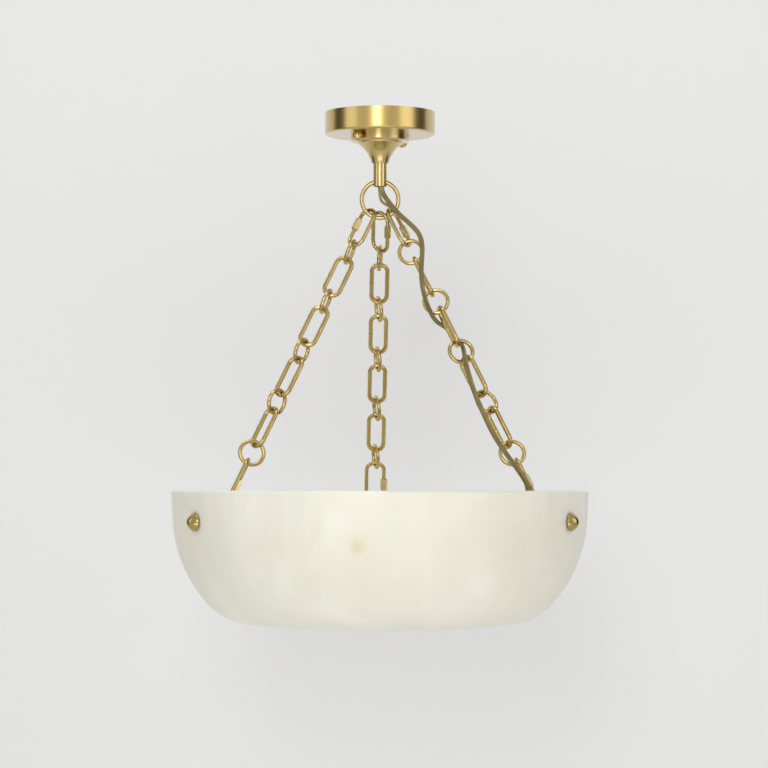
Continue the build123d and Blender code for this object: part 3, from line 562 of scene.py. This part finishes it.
# %% The stone
def alabaster_stone():
    """Stone: cream clouds from a slow noise, faint green-grey and peach mottling from two more, soft
    ochre stains at a few places, and light that spreads up to a centimetre under the surface."""
    finish, shader, place = new_finish(
        "alabaster", Roughness=0.48, Coat_Weight=0.05, Coat_Roughness=0.3,
        Subsurface_Weight=0.35, Subsurface_Scale=0.01, Subsurface_Radius=(1.0, 0.75, 0.5),
    )
    stretched = add_node(finish, "ShaderNodeMapping", {"Vector": place, "Scale": (1.0, 1.0, 0.6)})
    tall = stretched.outputs["Vector"]
    clouds = noise(finish, tall, 9.0, detail=4.0, distortion=0.6)
    colour = two_tones(finish, clouds, (0.35, (0.83, 0.815, 0.70)), (0.62, (0.90, 0.88, 0.79)))
    fine = noise(finish, tall, 30.0, detail=5.0, roughness=0.55, distortion=0.8)
    colour = blended(finish, ranged(finish, fine, (0.48, 0.72), (0.0, 0.4)), colour, (0.78, 0.79, 0.66, 1))
    peach = noise(finish, tall, 17.0, detail=3.0, distortion=0.5)
    colour = blended(finish, ranged(finish, peach, (0.52, 0.72), (0.0, 0.5)), colour, (0.86, 0.80, 0.67, 1))
    for middle, reach, strength, tint in STAINS:  # broken up by the fine noise, which is a half on average
        stain = reckon(finish, "MULTIPLY", stain_at(finish, place, middle, reach), fine)
        stain = reckon(finish, "MULTIPLY", stain, 2 * strength, held=True)
        colour = blended(finish, stain, colour, (*tint, 1))
    wire_up(finish, shader, "Base Color", colour)
    lift_surface(finish, shader, clouds, strength=0.3, distance=0.001)
    return finish


paint(["bowl"], alabaster_stone())

# %% [markdown]
# ## Rubber, enamel, plastic and zinc
# The hidden fittings are plainer: black rubber washers and feet, white enamel on the lamp cluster,
# ivory lampholders, a zinc-plated crossbar and orange wire connectors. Each could have a recipe of
# its own, but they sit in the shade and only need to be told apart, so one recipe serves them all.

# %% A recipe for moulded and painted pieces
GLOSS_SPREAD = 0.08


def moulded(name, colour, other, rough, metal=0.0):
    """Plain material: two near tones in a slow noise, a fine bump and slightly uneven gloss."""
    finish, shader, place = new_finish(name, Metallic=metal)
    slow = noise(finish, place, 60.0, detail=3.0)
    wire_up(finish, shader, "Base Color", blended(finish, slow, (*colour, 1), (*other, 1)))
    fine = noise(finish, place, 600.0, detail=2.0)
    gloss = ranged(finish, fine, (0.0, 1.0), (rough - GLOSS_SPREAD, rough + GLOSS_SPREAD))
    wire_up(finish, shader, "Roughness", gloss)
    lift_surface(finish, shader, fine, strength=0.5, distance=0.00003)
    return finish


rubber = moulded("black_rubber", (0.022, 0.022, 0.022), (0.04, 0.038, 0.036), 0.75)
enamel = moulded("white_enamel", (0.78, 0.77, 0.72), (0.72, 0.71, 0.66), 0.3)
ivory = moulded("ivory_plastic", (0.76, 0.74, 0.66), (0.70, 0.68, 0.60), 0.4)
zinc = moulded("zinc_plate", (0.60, 0.61, 0.62), (0.50, 0.51, 0.53), 0.38, metal=1.0)
orange = moulded("connector_plastic", (0.70, 0.30, 0.04), (0.62, 0.26, 0.03), 0.4)
paint(["inner_rubbers", "outer_rubbers", "lamp_feet"], rubber)
paint(["lamp_base", "hub", "hub_cap"], enamel)
paint(["lampholder_1", "lampholder_2", "lampholder_3", "cord_bushing"], ivory)
paint(["crossbar", "canopy_screw_front", "canopy_screw_rear", "earth_screw"], zinc)
paint(["wire_connectors"], orange)

# %% [markdown]
# ## The cord and its earth wire
# A flat twin cord with a clear gold jacket leaves the stem, weaves down beside the right-hand chain
# and goes over the rim to the lamps. A round earth wire follows close behind it. Both could be curves
# with a bevel, but the twin section turns about its line as it goes, which is easier to say point by
# point. So a smooth spline led by the measured route gives the line, and a section is carried along it.

# %% The route of the cord, in millimetres
CORD_ROUTE = np.array([
    (1.2, -4.2, -72.0), (1.0, -2.6, -84.0), (7.0, -6.5, -95.0), (19.0, -12.5, -110.5), (32.5, -18.5, -122.5),
    (42.5, -24.5, -133.5), (46.0, -31.5, -148.0), (44.0, -43.0, -171.0), (44.5, -50.0, -189.5),
    (48.0, -51.0, -205.5), (53.0, -45.0, -218.5), (60.0, -26.0, -229.0), (70.5, -16.5, -234.0),
    (83.0, -19.5, -246.5), (89.0, -39.0, -256.0), (90.0, -73.0, -272.0), (93.5, -79.0, -287.5),
    (100.0, -79.5, -308.5), (107.5, -79.0, -325.5), (114.5, -80.0, -341.0), (121.0, -83.0, -354.0),
    (129.0, -89.0, -366.5), (138.5, -96.5, -380.5), (147.5, -101.0, -393.0), (155.5, -101.5, -407.0),
    (154.0, -96.0, -429.5), (141.0, -82.0, -461.5), (118.0, -67.0, -494.5), (90.0, -50.0, -519.5),
]) / 1000
EARTH_START = np.array([
    (-0.8, 4.2, -72.0), (-1.0, 2.9, -85.0), (1.0, 1.1, -97.0), (10.0, -4.0, -102.0),
]) / 1000
BUSHING_AZIMUTH, BUSHING_REACH, PAIR_DISTANCE = np.radians(332.2), (0.0625, 0.021), 0.0038
bushing_height = sum(corner.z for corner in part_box("cord_bushing")) / 2
towards = np.array([np.cos(BUSHING_AZIMUTH), np.sin(BUSHING_AZIMUTH), 0])
beside = np.array([-np.sin(BUSHING_AZIMUTH), np.cos(BUSHING_AZIMUTH), 0])
cord_route = np.vstack([CORD_ROUTE, np.outer(BUSHING_REACH, towards) + [0, 0, bushing_height]])


def behind(route, distance):
    """The route moved to the side that faces away from the viewer, square to its own direction."""
    way = np.gradient(route, axis=0)
    way[1:-1] = route[2:] - route[:-2]
    way /= np.linalg.norm(way, axis=1)[:, None]
    back = np.array([0, 1, 0]) - way * way[:, 1:2]
    return route + distance * back / np.linalg.norm(back, axis=1)[:, None]


earth_route = np.vstack([EARTH_START, behind(cord_route, PAIR_DISTANCE)[3:]])
earth_route[-1] = cord_route[-1] + beside * PAIR_DISTANCE
print("control points:", len(cord_route), "for the cord,", len(earth_route), "for the earth wire")

# %% The smooth splines
SPLINE_STEPS, SPLINE_ORDER = 14, 3


def spline_points(route):
    """Points along the smooth spline that the route controls, read from a curve without a bevel."""
    curve = bpy.data.curves.new("route", "CURVE")
    curve.dimensions, curve.resolution_u = "3D", SPLINE_STEPS
    line = curve.splines.new("NURBS")
    line.points.add(len(route) - 1)
    line.points.foreach_set("co", np.hstack([route, np.ones((len(route), 1))]).ravel())
    line.order_u, line.use_endpoint_u = SPLINE_ORDER, True
    holder = bpy.data.objects.new("route", curve)
    mesh = bpy.data.meshes.new_from_object(holder)
    points = np.empty(len(mesh.vertices) * 3)
    mesh.vertices.foreach_get("co", points)
    bpy.data.meshes.remove(mesh)
    bpy.data.objects.remove(holder)
    bpy.data.curves.remove(curve)
    return points.reshape(-1, 3)


def length_of(points):
    """The length of a line: its steps' lengths added up."""
    return float(np.linalg.norm(np.diff(points, axis=0), axis=1).sum())


cord_line, earth_line = spline_points(cord_route), spline_points(earth_route)
print("cord", round(length_of(cord_line), 4), "m, earth wire", round(length_of(earth_line), 4), "m")

# %% Sections, and how they are carried along a line
CORE_SPACING, CORE_RADIUS, CORE_FLATNESS = 0.0013, 0.0014, 3
GROOVE_DEPTH, GROOVE_WIDTH = 0.3, 0.0006
EARTH_RADIUS = 0.0015
t = np.linspace(0, 2 * np.pi, 40, endpoint=False)
across = CORE_SPACING * np.tanh(CORE_FLATNESS * np.cos(t)) / np.tanh(CORE_FLATNESS) + CORE_RADIUS * np.cos(t)
waist = 1 - GROOVE_DEPTH * np.exp(-((across / GROOVE_WIDTH) ** 2))
twin_section = np.stack([across, CORE_RADIUS * np.sin(t) * waist], -1)
t = np.linspace(0, 2 * np.pi, 24, endpoint=False)
round_section = EARTH_RADIUS * np.stack([np.cos(t), np.sin(t)], -1)


def carried(points, section, twist):
    """A flat section carried along a line: its width lies across the line and across the line of
    sight, turned about the line by the twist at each point. The ends close in a point."""
    way = np.gradient(points, axis=0)
    way /= np.linalg.norm(way, axis=1)[:, None]
    level = np.cross(way, [0, 1, 0])
    level /= np.linalg.norm(level, axis=1)[:, None]
    out = np.cross(way, level)
    c, s = np.cos(twist)[:, None], np.sin(twist)[:, None]
    wide, thick = level * c + out * s, out * c - level * s
    skin = points[:, None, :] + section[None, :, :1] * wide[:, None, :]
    skin = skin + section[None, :, 1:] * thick[:, None, :]
    ends = np.repeat(points[[0, -1], None, :], len(section), axis=1)
    return np.concatenate([ends[:1], skin, ends[1:]])


def spread_along(line, angles):
    """A few angles, spread evenly along a line and joined by straight changes."""
    return np.interp(np.linspace(0, 1, len(line)), np.linspace(0, 1, len(angles)), angles)


print("the cord is", round(1000 * float(np.ptp(across)), 2), "mm wide")

# %% [markdown]
# ## A clear gold jacket
# The jacket is clear plastic over copper strands that are laid in a slant. The plastic could be made
# truly clear with every strand inside it, but at this size only fine slanting lines show. So a wave
# along the piece's own map gives the lines, half metal and half plastic, under a glossy coat.

# %% The jacket
def clear_jacket(name, core, glint):
    """Clear gold plastic over copper strands: the strands are a fine slanting wave along the piece's
    own map, which shows through as lighter and darker lines, under a glossy coat."""
    finish, shader, place = new_finish(
        name, Roughness=0.3, Coat_Weight=0.4, Coat_Roughness=0.1, Specular_IOR_Level=0.5
    )
    own = add_node(finish, "ShaderNodeTexCoord").outputs["UV"]
    laid = add_node(finish, "ShaderNodeMapping", {"Vector": own, "Scale": (700.0, 6.0, 1.0)})
    wave = {"Vector": laid.outputs["Vector"], "Scale": 0.5, "Distortion": 0.6, "Detail": 1.0}
    strands = add_node(finish, "ShaderNodeTexWave", wave, bands_direction="DIAGONAL").outputs["Fac"]
    lines = blended(finish, strands, (*core, 1), (*glint, 1))
    tone = blended(finish, noise(finish, place, 120.0, detail=2.0), lines, (*core, 1))
    wire_up(finish, shader, "Base Color", tone)
    wire_up(finish, shader, "Metallic", ranged(finish, strands, (0.0, 1.0), (0.35, 0.7)))
    return finish


gold_jacket = clear_jacket("gold_jacket", (0.175, 0.13, 0.038), (0.38, 0.295, 0.10))
pale_jacket = clear_jacket("pale_gold_jacket", (0.34, 0.25, 0.10), (0.56, 0.43, 0.20))
paint(["supply_leads", "earth_lead"], pale_jacket)

# %% The two wires
cord_twist = spread_along(cord_line, [0.2, 0.4, 0.9, 0.3, 0.6, 0.0])
earth_twist = spread_along(earth_line, [0, 0])
for name, line, section, jacket, twist, node, diameter in (
    ("twin_cord", cord_line, twin_section, gold_jacket, cord_twist, "cord", 0.0054),
    ("round_earth_wire", earth_line, round_section, pale_jacket, earth_twist, "earth_wire", 0.003),
):
    skin = carried(line, section, twist)
    wire = make_piece(name, [skin], jacket, None, [node], length_of(line))
    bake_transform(wire)

# %% [markdown]
# ## The studio
# A pale sweep of paper hangs behind the lamp and curves into the floor, in a room that is pale all
# round. Brass in such a room would have no dark edges, so a black board stands at each side, out of
# the picture. A dark room would give the edges too, but also a grey bowl. Paper and boards show on
# one side only, so that neither gets in the way of a camera that stands behind them.

# %% The sweep of paper
PAPER_GREY = 0.86


def one_sided(finish, shader):
    """A surface that shows and shades only on its front, and is clear from behind."""
    behind_it = add_node(finish, "ShaderNodeNewGeometry").outputs["Backfacing"]
    clear = add_node(finish, "ShaderNodeBsdfTransparent").outputs["BSDF"]
    either = add_node(finish, "ShaderNodeMixShader", {0: behind_it, 1: shader.outputs["BSDF"], 2: clear})
    end = finish.node_tree.nodes["Material Output"]
    finish.node_tree.links.new(either.outputs["Shader"], end.inputs["Surface"])


def backdrop(name, corners, faces, finish_name, grey, **sockets):
    """A sheet of the studio: its corners and faces in one grey, staged so that it is no part of the lamp."""
    mesh = bpy.data.meshes.new(name)
    mesh.from_pydata(corners.tolist(), [], faces)
    mesh.polygons.foreach_set("use_smooth", np.ones(len(mesh.polygons), bool))
    finish, shader, _ = new_finish(finish_name, **sockets)
    shader.inputs["Base Color"].default_value = (grey, grey, grey, 1)
    one_sided(finish, shader)
    mesh.materials.append(finish)
    sheet = into_scene(name, mesh)
    sheet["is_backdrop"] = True
    print(name, "faces", tuple(round(v, 2) for v in mesh.polygons[0].normal))
    return sheet


def paper_sweep(width=3.4, back=0.55, foot=-1.35, height=1.9, bend=0.5, front=-3.6):
    """Wall, quarter circle and floor as one profile of points, carried straight across."""
    a = np.linspace(0, np.pi / 2, 24)
    curved = np.stack([back - bend + bend * np.cos(a), foot + bend - bend * np.sin(a)], -1)
    profile = np.concatenate([[(back, height)], curved, [(front, foot)]])
    n = len(profile)
    x = np.repeat([-width / 2, width / 2], n)
    corners = np.stack([x, np.tile(profile[:, 0], 2), np.tile(profile[:, 1], 2)], -1)
    i = np.arange(n - 1)
    faces = np.stack([i, i + 1, i + n + 1, i + n], -1).tolist()
    backdrop("paper_sweep", corners, faces, "pale_paper", PAPER_GREY, Roughness=0.9, Specular_IOR_Level=0.1)


paper_sweep()

# %% Two black boards
BOARD_DISTANCE, BOARD_GREY = 2.3, 0.03


def dark_flag(name, x, near=-0.55, far=1.15, low=-1.3, high=1.5):
    """A black board beside the lamp, square to the sideways direction and facing the lamp, which the
    brass mirrors as a dark band and the camera doesn't see."""
    y, z = np.array([near, far, far, near]), np.array([low, low, high, high])
    corners = np.stack([np.full(4, x), y, z], -1)[:: 1 if x < 0 else -1]
    flag = backdrop(name, corners, [(0, 1, 2, 3)], name, BOARD_GREY, Roughness=1.0, Specular_IOR_Level=0.0)
    flag.visible_camera = False


dark_flag("left_flag", -BOARD_DISTANCE)
dark_flag("right_flag", BOARD_DISTANCE)

# %% [markdown]
# ## The lights
# Five soft boxes light the lamp: a large one in front, one at each side for the chains and the bowl's
# ends, one from above that washes the paper, and a low one that fills the bowl's underside. Lamps
# without a size would be simpler, but polished brass mirrors each one as a hard dot.

# %% Soft boxes
def soft_box(name, place, aim, size, power, colour=(1, 1, 1)):
    """A flat lamp at a place, turned so that it faces the aim."""
    light = bpy.data.lights.new(name, "AREA")
    light.shape = "RECTANGLE"
    light.size, light.size_y = size
    light.energy, light.color = power, colour
    box = into_scene(name, light)
    away = np.array(place, float) - np.array(aim, float)
    away /= np.linalg.norm(away)
    box.location = place
    box.rotation_euler = (np.arccos(away[2]), 0, np.arctan2(away[1], away[0]) + np.pi / 2)
    box.visible_camera = False


WARM_WHITE = (1.0, 0.99, 0.97)
soft_box("front_box", (-0.36, -3.3, 0.4), (0, 0, -0.2), (0.85, 1.7), 19.5)
soft_box("left_box", (-2.1, -1.0, 0.3), (0, 0, -0.3), (1.3, 1.8), 5.0, WARM_WHITE)
soft_box("right_box", (1.9, -1.25, 0.3), (0, 0, -0.3), (1.2, 1.8), 6.8, WARM_WHITE)
soft_box("wall_wash", (-0.2, -0.9, 2.2), (-0.1, 0.5, -0.7), (1.6, 0.6), 11.5)
soft_box("low_fill", (0.0, -1.7, -1.25), (0, 0.1, -0.6), (1.8, 0.8), 7.5)

# %% The pale room
ROOM_LIGHT, ROOM_SEEN = 0.58, 0.60
room = bpy.data.worlds.new("room")
bpy.context.scene.world = room
room.use_nodes = True
ray = add_node(room, "ShaderNodeLightPath").outputs
seen = reckon(room, "ADD", ray["Is Camera Ray"], ray["Is Glossy Ray"])
seen = reckon(room, "ADD", seen, ray["Is Transmission Ray"], held=True)
level = ranged(room, seen, (0.0, 1.0), (ROOM_LIGHT, ROOM_SEEN))
background = room.node_tree.nodes["Background"]
room.node_tree.links.new(level, background.inputs["Strength"])
background.inputs["Color"].default_value = (1, 1, 1, 1)
bpy.context.scene.view_settings.view_transform = "Standard"
print("the room shines with", ROOM_LIGHT, "and looks like", ROOM_SEEN)

# %% Sizes and the end
new_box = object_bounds()
grown = [round(float(abs(a - b)) * 1000, 2) for pair in zip(cad_box, new_box) for a, b in zip(*pair)]
print("the visual box differs by", grown, "mm")
